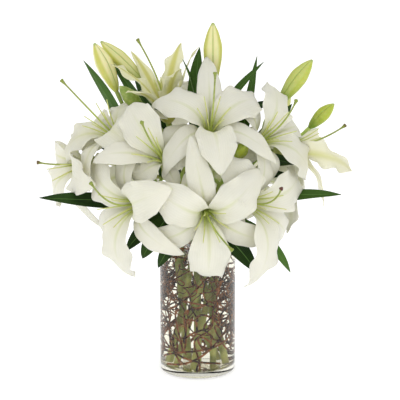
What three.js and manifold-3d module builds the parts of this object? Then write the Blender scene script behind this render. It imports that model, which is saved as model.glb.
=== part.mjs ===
// White lilies in a clear glass cylinder vase, lined with curly willow twigs and part filled with water.
// Millimetres, +Z up. The origin is the centre of the vase's flat underside, and -Y is the front.
import * as THREE from "three";
import { mergeVertices } from "three/addons/utils/BufferGeometryUtils.js";
import Module from "manifold-3d";

const wasm = await Module();
wasm.setup();

// Driving dimensions of the vase and its water.
const VASE_RADIUS = 51;
const VASE_HEIGHT = 203;
const WALL = 3;
const FLOOR = 8;
const FOOT_ROUND = 3;
const SEAT_GAP = 0.3;
const WATER_LEVEL = 166;
const VASE_SIDES = 28;

// Driving dimensions of a lily.
const STEM_RADIUS = 3.7;
const PEDICEL_RADIUS = 2;
const THROAT_DEPTH = 35;
const CORE_RADIUS = 10.5;
const CORE_TOP = 5;
const CORE_BOTTOM = -6;
const TEPAL_THICKNESS = 1.1;
const LEAF_THICKNESS = 1;
const FILAMENT_LENGTH = 62;
const STYLE_LENGTH = 88;

// How near a new blade or stalk may come to what is already there: the first try, and the second.
const CLEARANCES = [1.5, 0.6];
const RESTING_GAP = 0.9 * SEAT_GAP;

// Steps a midrib is followed in, and faces along and across a blade.
const SPINE_STEPS = 48;
const TEPAL_GRID = [5, 2];
const LEAF_GRID = [4, 2];

const WHITE = new THREE.MeshStandardMaterial({ color: 0xf2f1e6, roughness: 0.6, metalness: 0 });
const PALE_GREEN = new THREE.MeshStandardMaterial({ color: 0xb9c455, roughness: 0.5, metalness: 0 });
const BUD_GREEN = new THREE.MeshStandardMaterial({ color: 0xb4c76a, roughness: 0.5, metalness: 0 });
const LEAF_GREEN = new THREE.MeshStandardMaterial({ color: 0x2c5626, roughness: 0.4, metalness: 0 });
const TWIG_BROWN = new THREE.MeshStandardMaterial({ color: 0x6b3a26, roughness: 0.7, metalness: 0 });
const GLASS = new THREE.MeshStandardMaterial({
  color: 0xeef4f2,
  roughness: 0.05,
  metalness: 0,
  transparent: true,
  opacity: 0.3,
});
const WATER = new THREE.MeshStandardMaterial({
  color: 0xe6efe8,
  roughness: 0.05,
  metalness: 0,
  transparent: true,
  opacity: 0.4,
});

const group = new THREE.Group();
const radians = THREE.MathUtils.degToRad;
const smooth = (from, to, t) => THREE.MathUtils.smoothstep(t, from, to);

// Solids and meshes.

function solidOf(geometry) {
  const bare = new THREE.BufferGeometry();
  bare.setAttribute("position", geometry.getAttribute("position"));
  if (geometry.index) bare.setIndex(geometry.index);
  const merged = mergeVertices(bare, 1e-4);
  return new wasm.Manifold(
    new wasm.Mesh({
      numProp: 3,
      vertProperties: merged.attributes.position.array,
      triVerts: new Uint32Array(merged.index.array),
    }),
  );
}

// The largest body of a solid: scraps and sealed hollows go.
function wholeOf(solid, tolerance) {
  const bodies = solid.simplify(tolerance).decompose();
  return bodies.reduce((best, body) => (body.volume() > best.volume() ? body : best));
}

function addMesh(name, solid, material, tolerance = 0.06) {
  const mesh = wholeOf(solid, tolerance).getMesh();
  const geometry = new THREE.BufferGeometry();
  geometry.setAttribute("position", new THREE.BufferAttribute(mesh.vertProperties, 3));
  geometry.setIndex(new THREE.BufferAttribute(mesh.triVerts, 1));
  geometry.computeVertexNormals();
  const node = new THREE.Mesh(geometry, material);
  node.name = name;
  group.add(node);
}

// What is already placed. A new blade or stalk is bent until it clears all of it. The first of its owners is
// what it grows on, and it may come as near to the others as two pieces that rest on one another.
const placed = [];

function place(solid, owner) {
  placed.unshift({ solid, owner, box: solid.boundingBox() });
}

function boxesNear(a, b, gap) {
  return [0, 1, 2].every((k) => a.min[k] < b.max[k] + gap && b.min[k] < a.max[k] + gap);
}

function isClear(solid, owners, wanted) {
  const box = solid.boundingBox();
  const blocks = (other) => {
    if (other.owner === owners[0]) return false;
    const gap = owners.includes(other.owner) ? RESTING_GAP : wanted;
    return boxesNear(box, other.box, gap) && solid.minGap(other.solid, gap) < gap;
  };
  const at = placed.findIndex(blocks);
  if (at > 0) placed.unshift(...placed.splice(at, 1));
  return at < 0;
}

// The first of the ways to make a solid that stays clear, with a narrower gap allowed at a second try.
function firstClear(ways, make, owners) {
  for (const wanted of CLEARANCES) {
    for (const way of ways) {
      const solid = make(way);
      if (isClear(solid, owners, wanted)) return { solid, way, wanted };
    }
  }
  return null;
}

// Frames: a direction is an azimuth from the front towards the right, and an elevation, in degrees.

function direction(azimuth, elevation) {
  const [a, e] = [radians(azimuth), radians(elevation)];
  return new THREE.Vector3(Math.sin(a) * Math.cos(e), -Math.cos(a) * Math.cos(e), Math.sin(e));
}

// Z runs along the direction, and X is upward across it, turned by the roll.
function frameAt(origin, along, roll) {
  const up = new THREE.Vector3(0, 0, 1).addScaledVector(along, -along.z);
  if (up.lengthSq() < 1e-6) up.set(0, 1, 0);
  const x = up.normalize().applyAxisAngle(along, radians(roll));
  const y = new THREE.Vector3().crossVectors(along, x);
  return new THREE.Matrix4().makeBasis(x, y, along).setPosition(origin);
}

// A blade is a tepal or a leaf: a midrib that bends away from the frame's Z axis towards X, and a
// cross-section that is hollow near the root, arched near the tip and waved along its edges.

function spineOf(form, pose) {
  const point = new THREE.Vector3(form.rootRadius, 0, 0);
  const stations = [];
  for (let i = 0; i <= SPINE_STEPS; i++) {
    const t = i / SPINE_STEPS;
    const angle = radians(form.lean + pose.open * smooth(0.05, form.bendEnd, t) + pose.curl * t ** 3);
    const sway = radians(pose.sway * t);
    const ahead = new THREE.Vector3(Math.sin(angle), 0, Math.cos(angle));
    const side = new THREE.Vector3(0, 1, 0);
    const along = ahead.clone().multiplyScalar(Math.cos(sway)).addScaledVector(side, Math.sin(sway));
    const across = side.clone().multiplyScalar(Math.cos(sway)).addScaledVector(ahead, -Math.sin(sway));
    across.applyAxisAngle(along, radians(pose.twist * t));
    const face = new THREE.Vector3().crossVectors(along, across);
    stations.push({ t, point: point.clone(), across, face });
    point.addScaledVector(along, form.length / SPINE_STEPS);
  }
  return stations;
}

function halfWidthAt(form, t) {
  const rise = form.claw + (1 - form.claw) * smooth(0, form.widest, t);
  const past = Math.max(0, (t - form.widest) / (1 - form.widest));
  return form.halfWidth * rise * (1 - past ** 2) ** 0.85;
}

// The point of the middle surface at share s across the station, and the surface's normal there.
function bladePoint(form, pose, station, s) {
  const { t, across, face } = station;
  const half = halfWidthAt(form, t);
  const ring = Math.min(1.25, half / Math.max(station.point.x, 1));
  const bow = form.cup * ring * (1 - smooth(0.2, 0.6, t)) + form.arch * smooth(0.35, 1, t) + 1e-3;
  const wave = Math.sin(2 * Math.PI * form.waves * t + pose.phase + (s > 0 ? 0 : 1.9));
  const ruffle = form.ruffle * Math.abs(s) ** 3 * wave * smooth(0.2, 0.5, t) * (1 - smooth(0.85, 1, t));
  const groove = form.groove * (1 - 0.7 * t) * Math.max(0, 1 - Math.abs(s) / 0.4);
  const sideways = (half * Math.sin(bow * s)) / bow;
  const height = (half * (1 - Math.cos(bow * s))) / bow + ruffle - groove;
  const normal = face.clone().multiplyScalar(Math.cos(bow * s)).addScaledVector(across, -Math.sin(bow * s));
  const point = station.point.clone().addScaledVector(across, sideways).addScaledVector(face, height);
  return { point, normal };
}

// The blade as a closed solid of even thickness, with its tip drawn together to one edge.
function bladeSolid(form, pose, frame, [along, across]) {
  const spine = spineOf(form, pose);
  const positions = [];
  const rows = [];
  for (let i = 0; i <= along; i++) {
    const station = spine[Math.round((i * SPINE_STEPS) / along)];
    const row = [];
    const columns = i === along ? 0 : across;
    for (let j = 0; j <= columns; j++) {
      const s = columns ? (2 * j) / columns - 1 : 0;
      const { point, normal } = bladePoint(form, pose, station, s);
      const pair = [1, -1].map((face) => {
        const corner = point.clone().addScaledVector(normal, (face * form.thickness) / 2);
        corner.applyMatrix4(frame);
        positions.push(corner.x, corner.y, corner.z);
        return positions.length / 3 - 1;
      });
      row.push(pair);
    }
    rows.push(row);
  }
  const triangles = [];
  const quad = (a, b, c, d) => triangles.push(a, b, c, a, c, d);
  for (let i = 0; i < along; i++) {
    const [near, far] = [rows[i], rows[i + 1]];
    for (let j = 0; j < across; j++) {
      for (const face of [0, 1]) {
        const [a, b] = [near[j][face], near[j + 1][face]];
        const [c, d] = [far[Math.min(j + 1, far.length - 1)][face], far[Math.min(j, far.length - 1)][face]];
        const ahead = c === d ? [a, b, c] : [a, b, c, a, c, d];
        triangles.push(...(face ? ahead.toReversed() : ahead));
      }
    }
    const [nearEnd, farEnd] = [near.length - 1, far.length - 1];
    quad(near[0][0], far[0][0], far[0][1], near[0][1]);
    quad(far[farEnd][0], near[nearEnd][0], near[nearEnd][1], far[farEnd][1]);
  }
  for (let j = 0; j < across; j++) quad(rows[0][j + 1][0], rows[0][j][0], rows[0][j][1], rows[0][j + 1][1]);
  const geometry = new THREE.BufferGeometry();
  geometry.setAttribute("position", new THREE.Float32BufferAttribute(positions, 3));
  geometry.setIndex(triangles);
  const solid = solidOf(geometry);
  if (solid.volume() > 0) return solid;
  geometry.setIndex(triangles.toReversed());
  return solidOf(geometry);
}

// A closed skin over rings of equally many points, with flat ends.
function loftSolid(rings) {
  const sides = rings[0].length;
  const triangles = [];
  for (let i = 0; i < rings.length - 1; i++) {
    for (let j = 0; j < sides; j++) {
      const [a, b] = [i * sides + j, i * sides + ((j + 1) % sides)];
      triangles.push(a, b, b + sides, a, b + sides, a + sides);
    }
  }
  const last = (rings.length - 1) * sides;
  for (let j = 1; j < sides - 1; j++) triangles.push(0, j + 1, j, last, last + j, last + j + 1);
  const geometry = new THREE.BufferGeometry();
  const positions = rings.flat().flatMap((corner) => corner.toArray());
  geometry.setAttribute("position", new THREE.Float32BufferAttribute(positions, 3));
  geometry.setIndex(triangles);
  return solidOf(geometry);
}

// A closed tube along a curve, with its own radius at each step. It may run on a little past both ends.
function tubeSolid(curve, radiusAt, sides, steps, overrun = 0) {
  const frames = curve.computeFrenetFrames(steps, false);
  const rings = [];
  for (let i = 0; i <= steps; i++) {
    const beyond = i === 0 ? -overrun : i === steps ? overrun : 0;
    const centre = curve.getPointAt(i / steps).addScaledVector(frames.tangents[i], beyond);
    const radius = radiusAt(i / steps);
    rings.push(
      Array.from({ length: sides }, (_, j) => {
        const angle = (2 * Math.PI * j) / sides;
        return centre
          .clone()
          .addScaledVector(frames.normals[i], radius * Math.cos(angle))
          .addScaledVector(frames.binormals[i], radius * Math.sin(angle));
      }),
    );
  }
  return loftSolid(rings);
}

function turnedSolid(profile, sides, frame) {
  const geometry = new THREE.LatheGeometry(
    profile.map(([r, z]) => new THREE.Vector2(r, z)),
    sides,
  ).rotateX(Math.PI / 2);
  return solidOf(frame ? geometry.applyMatrix4(frame) : geometry);
}

// The glass vase: a straight cylinder with a thick floor and a rounded foot.
function makeVase() {
  const inner = VASE_RADIUS - WALL;
  const profile = [
    [0, 0],
    [VASE_RADIUS - FOOT_ROUND, 0],
    [VASE_RADIUS, FOOT_ROUND],
    [VASE_RADIUS, VASE_HEIGHT],
    [inner, VASE_HEIGHT],
    [inner, FLOOR],
    [0, FLOOR],
  ];
  const solid = turnedSolid(profile, VASE_SIDES);
  place(solid, "vase");
  addMesh("vase", solid, GLASS);
}

// Curly willow: twigs wound up the inside of the glass, where they cross one another and hold together.
const TWIG_RADIUS = 1.5;
const TWIG_NEST_RADIUS = 44;
const TWIGS = [
  { start: -60, turns: 1.1, low: 10.2, high: 190 },
  { start: 40, turns: -1.2, low: 10.6, high: 178 },
  { start: 130, turns: 1, low: 10.4, high: 194 },
  { start: 210, turns: -1.1, low: 10.8, high: 184 },
  { start: 290, turns: 1.2, low: 16, high: 150 },
];

function twigCurve(twig) {
  const points = [];
  const stops = 16;
  for (let i = 0; i <= stops; i++) {
    const t = i / stops;
    const angle = radians(twig.start + 360 * twig.turns * t);
    const rise = t + 0.055 * Math.sin(4 * Math.PI * t + twig.start);
    const radius = TWIG_NEST_RADIUS + 0.9 * Math.sin(5 * Math.PI * t + twig.start);
    const z = THREE.MathUtils.lerp(twig.low, twig.high, THREE.MathUtils.clamp(rise, 0, 1));
    points.push(new THREE.Vector3(radius * Math.sin(angle), -radius * Math.cos(angle), z));
  }
  return new THREE.CatmullRomCurve3(points);
}

function twigSolids(extra, overrun) {
  return TWIGS.map((twig) =>
    tubeSolid(twigCurve(twig), (t) => TWIG_RADIUS * (1.15 - 0.4 * t) + extra, 3, 10, overrun),
  );
}

// Lily stems: each stands on the vase's floor, leans across to its place at the mouth and ends in a fork.
// The angles run from the front towards the right. The fork is a point above the vase.
const FOOT_CIRCLE = 29;
const MOUTH_CIRCLE = 27;
const SPIRAL = 112;
const STEMS = {
  front: { mouth: 0, fork: [4, -42, 240] },
  right: { mouth: 52, fork: [42, -28, 246] },
  far_right: { mouth: 100, fork: [54, 8, 252] },
  back_right: { mouth: 150, fork: [30, 46, 246] },
  back_left: { mouth: 205, fork: [-28, 46, 246] },
  left: { mouth: 257, fork: [-56, 8, 252] },
  front_left: { mouth: 308, fork: [-42, -34, 246] },
  middle: { mouth: 0, centre: true, fork: [-4, 6, 285] },
};

function ringPoint(radius, azimuth, z) {
  const a = radians(azimuth);
  return new THREE.Vector3(radius * Math.sin(a), -radius * Math.cos(a), z);
}

function stemCurve(stem) {
  const foot = ringPoint(stem.centre ? 0 : FOOT_CIRCLE, stem.mouth - SPIRAL, FLOOR - 2);
  const mouth = ringPoint(stem.centre ? 0 : MOUTH_CIRCLE, stem.mouth, VASE_HEIGHT);
  const fork = new THREE.Vector3(...stem.fork);
  return new THREE.CubicBezierCurve3(foot, foot.clone().lerp(mouth, 0.45), mouth, fork);
}

const stemSolid = (curve, extra) => tubeSolid(curve, (t) => STEM_RADIUS * (1.05 - 0.2 * t) + extra, 5, 6);

// How far a bloom has opened: the bend of its tepals, and how much they differ from one another.
const WIDE = { open: 76, curl: 74, spread: 1 };
const PARTLY = { open: 48, curl: 58, spread: 0.7 };
const BARELY = { open: 20, curl: 36, spread: 0.4 };

// Blooms. The throat is where the filaments come out, and the bloom faces its azimuth and elevation. At roll
// 0 a broad tepal points upward. The broad tepals come first, third and fifth. Style is where the pistil
// ends, and a slim bloom's tepals are narrower by that share. Turn, grow and ease change single tepals: by how
// far they stand aside, how long they are, and how much less they bend.
const BLOOMS = {
  front: { stem: "front", throat: [14, -115, 235], face: [8, -10], roll: 180, size: 1.02,
    style: [42, -152, 206], turn: [0, 6, 10, 14, -4, -4], grow: [1.07, 1, 1, 1.1, 1, 1] },
  right: { stem: "right", throat: [78, -82, 246], face: [48, -2], roll: 50, size: 1.02,
    style: [103, -130, 278], grow: [1, 0.9, 1.22, 1.1, 1.1, 1] },
  top: { stem: "middle", throat: [18, -70, 352], face: [8, 47], roll: 60, size: 1,
    style: [22, -90, 415], ease: [0, 0, 0, 0, 0, 20] },
  upper_right: { stem: "right", throat: [95, -42, 330], face: [46, 30], roll: 96, size: 0.98,
    style: [124, -70, 378] },
  far_right: { stem: "far_right", throat: [140, 2, 308], face: [84, 12], roll: 10, size: 0.95,
    opened: PARTLY, style: [193, -8, 336] },
  upper_left: { stem: "left", throat: [-120, -14, 336], face: [-62, 46], roll: 20, size: 0.95,
    style: [-174, -30, 398], grow: [0.62, 1, 1, 1, 1, 1] },
  left: { stem: "left", throat: [-168, 2, 282], face: [-58, 2], roll: 22, size: 0.98,
    style: [-208, -24, 290] },
  front_left: { stem: "front_left", throat: [-92, -80, 243], face: [-48, -4], roll: 180, size: 1.03,
    style: [-132, -112, 281], turn: [-6, 0, -8, 0, -14, 8], grow: [1.16, 1, 1.05, 1, 1, 1.06] },
  middle_left: { stem: "front_left", throat: [-50, -98, 318], face: [-24, 34], roll: 40, size: 1,
    style: [-67, -140, 362] },
  opening: { stem: "left", throat: [-45, 20, 372], face: [-40, 74], roll: 10, size: 0.92, opened: BARELY,
    slim: 0.62, style: [-78, 10, 446] },
  back: { stem: "back_right", throat: [18, 112, 248], face: [172, -4], roll: 180, size: 1 },
  back_right: { stem: "back_right", throat: [105, 72, 258], face: [125, 2], roll: 30, size: 1 },
  back_left: { stem: "back_left", throat: [-86, 92, 258], face: [-142, 4], roll: 200, size: 1 },
  back_top: { stem: "back_left", throat: [5, 88, 345], face: [180, 44], roll: 0, size: 1 },
};

const BROAD_TEPAL = {
  length: 118, halfWidth: 25, claw: 0.12, widest: 0.52, lean: 13, bendEnd: 0.66, rootRadius: 4.3,
  cup: 0.9, arch: -0.4, waves: 3.2, ruffle: 3.4, groove: 1.5, thickness: TEPAL_THICKNESS,
};
const NARROW_TEPAL = {
  length: 116, halfWidth: 16, claw: 0.18, widest: 0.46, lean: 21, bendEnd: 0.6, rootRadius: 6.6,
  cup: 0.9, arch: -0.4, waves: 2.2, ruffle: 1.4, groove: 1.2, thickness: TEPAL_THICKNESS,
};
// A fixed share between 0 and 1 for each number, for nature's small differences.
const share = (n, step) => (n * step) % 1;

function tepalPose(bloom, order, k) {
  const n = 6 * order + k + 1;
  const { open, curl, spread } = bloom.opened ?? WIDE;
  return {
    open: open + spread * 12 * (share(n, 0.618034) - 0.5) - (bloom.ease?.[k] ?? 0),
    curl: curl + spread * 44 * (share(n, 0.754878) - 0.5) - 2 * (bloom.ease?.[k] ?? 0),
    sway: spread * 14 * (share(n, 0.56984) - 0.5),
    twist: spread * 24 * (share(n, 0.819173) - 0.5),
    phase: 2 * Math.PI * share(n, 0.671044),
  };
}

// Bends to try, the gentlest first, for a blade that would touch what is already there.
const BENDS = [];
for (const length of [1, 0.88, 0.76, 0.64, 0.52, 0.42]) {
  for (const open of [0, -9, 9, -18, 18, -28, 28, -42, 42]) {
    for (const sway of [0, -14, 14, -28, 28, -44, 44]) {
      for (const curl of [0, 35, -35]) {
        const effort = Math.abs(open) + 0.8 * Math.abs(sway) + 0.3 * Math.abs(curl) + 190 * (1 - length);
        BENDS.push({ length, open, sway, curl, effort });
      }
    }
  }
}
BENDS.sort((a, b) => a.effort - b.effort);

function clearBlade(form, pose, frame, grid, owners) {
  const make = (bend) => {
    const length = form.length * bend.length;
    const halfWidth = form.halfWidth * bend.length ** 0.5;
    const bentPose = { ...pose };
    for (const key of ["open", "sway", "curl"]) bentPose[key] += bend[key];
    return bladeSolid({ ...form, length, halfWidth }, bentPose, frame, grid);
  };
  return firstClear(BENDS, make, owners);
}

function baseOf(bloom) {
  const along = direction(...bloom.face);
  const base = new THREE.Vector3(...bloom.throat).addScaledVector(along, -THROAT_DEPTH);
  return { along, base };
}

function coreSolid(frame) {
  const profile = [
    [0, CORE_BOTTOM],
    [3, CORE_BOTTOM],
    [CORE_RADIUS, 0],
    [CORE_RADIUS, CORE_TOP],
    [0, CORE_TOP],
  ];
  return turnedSolid(profile, 6, frame);
}

// The pistil: a style that widens to an ovary at its foot and to a knob at its tip.
const OVARY_RADIUS = 3.4;
const STYLE_RADIUS = 1.4;
const KNOB_RADIUS = 2.8;
const STYLE_FOOT = CORE_TOP + SEAT_GAP;

function pistilSolid(bloom, frame) {
  const onAxis = (z) => new THREE.Vector3(0, 0, z).applyMatrix4(frame);
  const tip = bloom.style
    ? new THREE.Vector3(...bloom.style)
    : new THREE.Vector3(16, 4, STYLE_LENGTH * bloom.size).applyMatrix4(frame);
  const curve = new THREE.CubicBezierCurve3(onAxis(STYLE_FOOT), onAxis(30), onAxis(60), tip);
  const radiusAt = (t) => (t < 0.1 ? OVARY_RADIUS : t < 0.9 ? STYLE_RADIUS : KNOB_RADIUS);
  return tubeSolid(curve, radiusAt, 5, 4);
}

// The stamens: bare filaments round the pistil, each leaning out as far as the tepals leave room for.
const FILAMENT_RADIUS = 0.9;
const SPLAYS = [];
for (const length of [1, 0.8, 0.6, 0.4]) {
  for (const splay of [26, 21, 16, 31, 11, 7]) {
    for (const turn of [0, 9, -9]) SPLAYS.push({ length, splay, turn });
  }
}

function filamentSolid(bloom, frame, k, way) {
  const a = radians(60 * k + 30 + bloom.roll + way.turn);
  const at = (r, z) => new THREE.Vector3(r * Math.cos(a), r * Math.sin(a), z).applyMatrix4(frame);
  const splay = way.length * way.splay * (bloom.opened?.spread ?? 1);
  const root = at(0.75 * OVARY_RADIUS, STYLE_FOOT + 2);
  const end = at(splay, way.length * FILAMENT_LENGTH * bloom.size);
  return tubeSolid(new THREE.LineCurve3(root, end), () => FILAMENT_RADIUS, 3, 1);
}

// Buds: pointed, with shallow furrows between the folded tepals.
const BUDS = {
  tall: { stem: "middle", base: [20, 12, 388], face: [0, 89], length: 80, radius: 12.5 },
  right: { stem: "far_right", base: [110, 24, 362], face: [86, 54], length: 70, radius: 12 },
  small_right: { stem: "far_right", base: [150, 32, 326], face: [84, 46], length: 46, radius: 9.5 },
  green_left: { stem: "middle", base: [-70, -4, 352], face: [-66, 48], length: 50, radius: 10 },
  pale_left: { stem: "left", base: [-108, 30, 376], face: [-80, 66], length: 70, radius: 12 },
  long_left: { stem: "back_left", base: [-72, 55, 384], face: [-88, 44], length: 80, radius: 11 },
  inner_right: { stem: "right", base: [45, -58, 300], face: [35, 40], length: 38, radius: 9 },
  back_right: { stem: "back_right", base: [92, 104, 312], face: [140, 34], length: 74, radius: 12 },
};
const BUD_RINGS = [
  [0, 0.28],
  [0.12, 0.6],
  [0.4, 0.93],
  [0.62, 1],
  [0.86, 0.6],
  [1, 0.12],
];

function budSolid(bud) {
  const frame = frameAt(new THREE.Vector3(...bud.base), direction(...bud.face), 0);
  const sides = 6;
  const rings = BUD_RINGS.map(([t, swell]) =>
    Array.from({ length: sides }, (_, j) => {
      const a = (2 * Math.PI * j) / sides;
      const r = bud.radius * swell * (j % 2 ? 0.9 : 1.04);
      return new THREE.Vector3(r * Math.cos(a), r * Math.sin(a), bud.length * t).applyMatrix4(frame);
    }),
  );
  return loftSolid(rings);
}

// A pedicel leaves the stem the way the stem points, and meets a bloom or bud from behind.
const SHIFTS = [[0, 0, 0]];
for (const reach of [8, 16, 26, 38]) {
  for (let k = 0; k < 8; k++) {
    const a = (Math.PI * k) / 4;
    SHIFTS.push([reach * Math.cos(a), reach * Math.sin(a), 0]);
    SHIFTS.push([0.6 * reach * Math.cos(a), 0.6 * reach * Math.sin(a), -0.8 * reach]);
  }
}

function clearPedicel(stemLine, at, end, along, radius, owners) {
  const start = stemLine.getPointAt(at);
  const leaving = stemLine.getTangentAt(at);
  const distance = start.distanceTo(end);
  const curveBy = (shift) => {
    const aside = new THREE.Vector3(...shift);
    const first = start.clone().addScaledVector(leaving, 0.32 * distance).addScaledVector(aside, 0.5);
    const second = end.clone().addScaledVector(along, -0.36 * distance).add(aside);
    return new THREE.CubicBezierCurve3(start, first, second, end);
  };
  const make = (shift) => tubeSolid(curveBy(shift), (t) => radius * (1.1 + 0.25 * t), 4, 4);
  const { solid, way } = firstClear(SHIFTS, make, owners);
  return { solid, curve: curveBy(way) };
}

// Leaves: each grows from a stem, or from the pedicel of a bloom or bud, towards the place of its tip.
const LEAF = {
  claw: 0.16, widest: 0.42, rootRadius: 0, cup: 0, arch: 0.35, waves: 1.2, ruffle: 0.8, groove: 1.2,
  bendEnd: 0.9, thickness: LEAF_THICKNESS,
};
const LEAVES = [
  { on: "stem left", tip: [-193, -60, 258], width: 12, droop: -4 },
  { on: "green_left", at: 0.6, tip: [-163, -10, 382], width: 10, droop: -4, roll: -45 },
  { on: "pale_left", tip: [-139, 20, 426], width: 9, droop: 0, roll: 60 },
  { on: "pale_left", tip: [-100, -6, 396], width: 13, droop: 20 },
  { on: "upper_left", tip: [-183, 0, 330], width: 8, droop: 14 },
  { on: "opening", tip: [-52, 30, 432], width: 10, droop: 6 },
  { on: "tall", tip: [-18, -14, 420], width: 13, droop: 10 },
  { on: "tall", tip: [-10, 24, 430], width: 12, droop: 4 },
  { on: "top", tip: [82, -20, 417], width: 8, droop: 10 },
  { on: "upper_right", tip: [77, 20, 417], width: 7, droop: 3 },
  { on: "inner_right", tip: [64, -46, 372], width: 11, droop: 8 },
  { on: "far_right", at: 0.7, tip: [172, -60, 298], width: 12, droop: 0 },
  { on: "far_right", tip: [190, -26, 276], width: 9, droop: 14 },
  { on: "stem far_right", tip: [182, -38, 250], width: 10, droop: 8 },
  { on: "stem right", tip: [134, -72, 152], width: 8, droop: 30 },
  { on: "stem front", tip: [86, -84, 148], width: 14, droop: 40 },
  { on: "stem front", at: 0.75, tip: [-26, -36, 206], width: 7, droop: 8, roll: 0 },
  { on: "stem front_left", tip: [-78, -62, 160], width: 13, droop: 44 },
  { on: "stem front", tip: [-58, -70, 152], width: 11, droop: 40 },
  { on: "stem front_left", tip: [-98, -62, 176], width: 11, droop: 34 },
  { on: "front_left", tip: [-168, -52, 218], width: 10, droop: 20 },
  { on: "stem back_left", tip: [-96, 60, 160], width: 13, droop: 40 },
  { on: "stem back_left", tip: [-20, 96, 150], width: 13, droop: 40 },
  { on: "stem back_right", tip: [66, 86, 156], width: 13, droop: 40 },
  { on: "stem far_right", tip: [132, 44, 176], width: 12, droop: 36 },
  { on: "back_top", tip: [-70, 110, 392], width: 12, droop: 10 },
  { on: "back_right", tip: [150, 74, 330], width: 12, droop: 14 },
  { on: "back_top", tip: [72, 118, 375], width: 12, droop: 14 },
];

function leafFrame(curve, at, tip, roll) {
  const base = curve.getPointAt(at);
  const along = tip.clone().sub(base).normalize();
  return frameAt(base, along, 180 + roll);
}

makeVase();
const nest = wasm.Manifold.union(twigSolids(0, 0));
place(nest, "willow_twigs");

const curves = {};
const stemParts = {};
for (const [name, stem] of Object.entries(STEMS)) {
  const curve = stemCurve(stem);
  const whole = stemSolid(curve, 0);
  const below = solidOf(new THREE.BoxGeometry(200, 200, 20).translate(0, 0, FLOOR + SEAT_GAP - 10));
  const solid = whole.subtract(below);
  curves["stem " + name] = curve;
  stemParts[name] = [solid];
  place(solid, "stem_" + name);
}
const budSolids = {};
for (const [name, bud] of Object.entries(BUDS)) {
  budSolids[name] = budSolid(bud);
  place(budSolids[name], "bud_" + name);
}
const stamenParts = {};
const cores = {};
for (const [name, bloom] of Object.entries(BLOOMS)) {
  const { along, base } = baseOf(bloom);
  cores[name] = coreSolid(frameAt(base, along, bloom.roll + 30));
  stamenParts[name] = [pistilSolid(bloom, frameAt(base, along, 0))];
  place(cores[name], "bloom_" + name);
  place(stamenParts[name][0], "stamens_" + name);
}

const forks = {};
function addPedicel(name, node, stem, end, along, radius) {
  forks[stem] = (forks[stem] ?? 1.02) - 0.035;
  const owners = ["stem_" + stem, node];
  const found = clearPedicel(curves["stem " + stem], forks[stem], end, along, radius, owners);
  curves[name] = found.curve;
  stemParts[stem].push(found.solid);
  place(found.solid, "stem_" + stem);
}
for (const [name, bloom] of Object.entries(BLOOMS)) {
  const { along, base } = baseOf(bloom);
  const end = base.clone().addScaledVector(along, CORE_BOTTOM - SEAT_GAP);
  addPedicel(name, "bloom_" + name, bloom.stem, end, along, PEDICEL_RADIUS * 1.1);
}
for (const [name, bud] of Object.entries(BUDS)) {
  const along = direction(...bud.face);
  const end = new THREE.Vector3(...bud.base).addScaledVector(along, -SEAT_GAP);
  addPedicel(name, "bud_" + name, bud.stem, end, along, PEDICEL_RADIUS);
}

// Tepals, bent clear of everything placed before them, and then the filaments among them.
const bloomParts = {};
Object.entries(BLOOMS).forEach(([name, bloom], order) => {
  const { along, base } = baseOf(bloom);
  bloomParts[name] = [cores[name]];
  for (let k = 0; k < 6; k++) {
    const broad = k % 2 === 0;
    const own = broad ? BROAD_TEPAL : NARROW_TEPAL;
    const size = bloom.size * (bloom.grow?.[k] ?? 1);
    const halfWidth = own.halfWidth * bloom.size * (bloom.slim ?? 1);
    const form = { ...own, length: own.length * size, halfWidth };
    const frame = frameAt(base, along, bloom.roll + 60 * k + (bloom.turn?.[k] ?? 0));
    const owners = ["bloom_" + name, "stamens_" + name];
    const { solid } = clearBlade(form, tepalPose(bloom, order, k), frame, TEPAL_GRID, owners);
    bloomParts[name].push(solid);
    place(solid, "bloom_" + name);
  }
  for (let k = 0; k < 6; k++) {
    const make = (way) => filamentSolid(bloom, frameAt(base, along, 0), k, way);
    const { solid } = firstClear(SPLAYS, make, ["stamens_" + name, "bloom_" + name]);
    stamenParts[name].push(solid);
    place(solid, "stamens_" + name);
  }
});

// Leaves, bent clear in the same way. One that finds no room is set elsewhere along its stalk.
const LEAF_PLACES = [0.12, 0.45, 0.94, 0.6];
LEAVES.forEach((leaf, n) => {
  const curve = curves[leaf.on];
  const onStem = leaf.on.startsWith("stem ");
  const stem = onStem ? leaf.on.slice(5) : (BLOOMS[leaf.on] ?? BUDS[leaf.on]).stem;
  const tip = new THREE.Vector3(...leaf.tip);
  const pose = { open: leaf.droop * 1.6, curl: leaf.droop * 0.8, sway: 0, twist: 0, phase: n };
  for (const at of [leaf.at ?? (onStem ? 0.9 : 0.25), ...LEAF_PLACES]) {
    const frame = leafFrame(curve, at, tip, leaf.roll ?? (tip.x > 0 ? 45 : -45));
    const length = curve.getPointAt(at).distanceTo(tip) * 1.04;
    const form = { ...LEAF, length, halfWidth: leaf.width, lean: -leaf.droop };
    const found = clearBlade(form, pose, frame, LEAF_GRID, ["stem_" + stem]);
    if (found) {
      stemParts[stem].push(found.solid);
      place(found.solid, "stem_" + stem);
      break;
    }
  }
});

for (const name of Object.keys(BLOOMS)) {
  addMesh("bloom_" + name, wasm.Manifold.union(bloomParts[name]), WHITE, 0.15);
  addMesh("stamens_" + name, wasm.Manifold.union(stamenParts[name]), PALE_GREEN, 0.15);
}
for (const [name, solid] of Object.entries(budSolids)) addMesh("bud_" + name, solid, BUD_GREEN);
for (const [name, parts] of Object.entries(stemParts)) {
  addMesh("stem_" + name, wasm.Manifold.union(parts), LEAF_GREEN, 0.2);
}

// The twigs are one nest, and the water fills the vase round them and the stems.
addMesh("willow_twigs", nest, TWIG_BROWN, 0.15);

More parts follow.
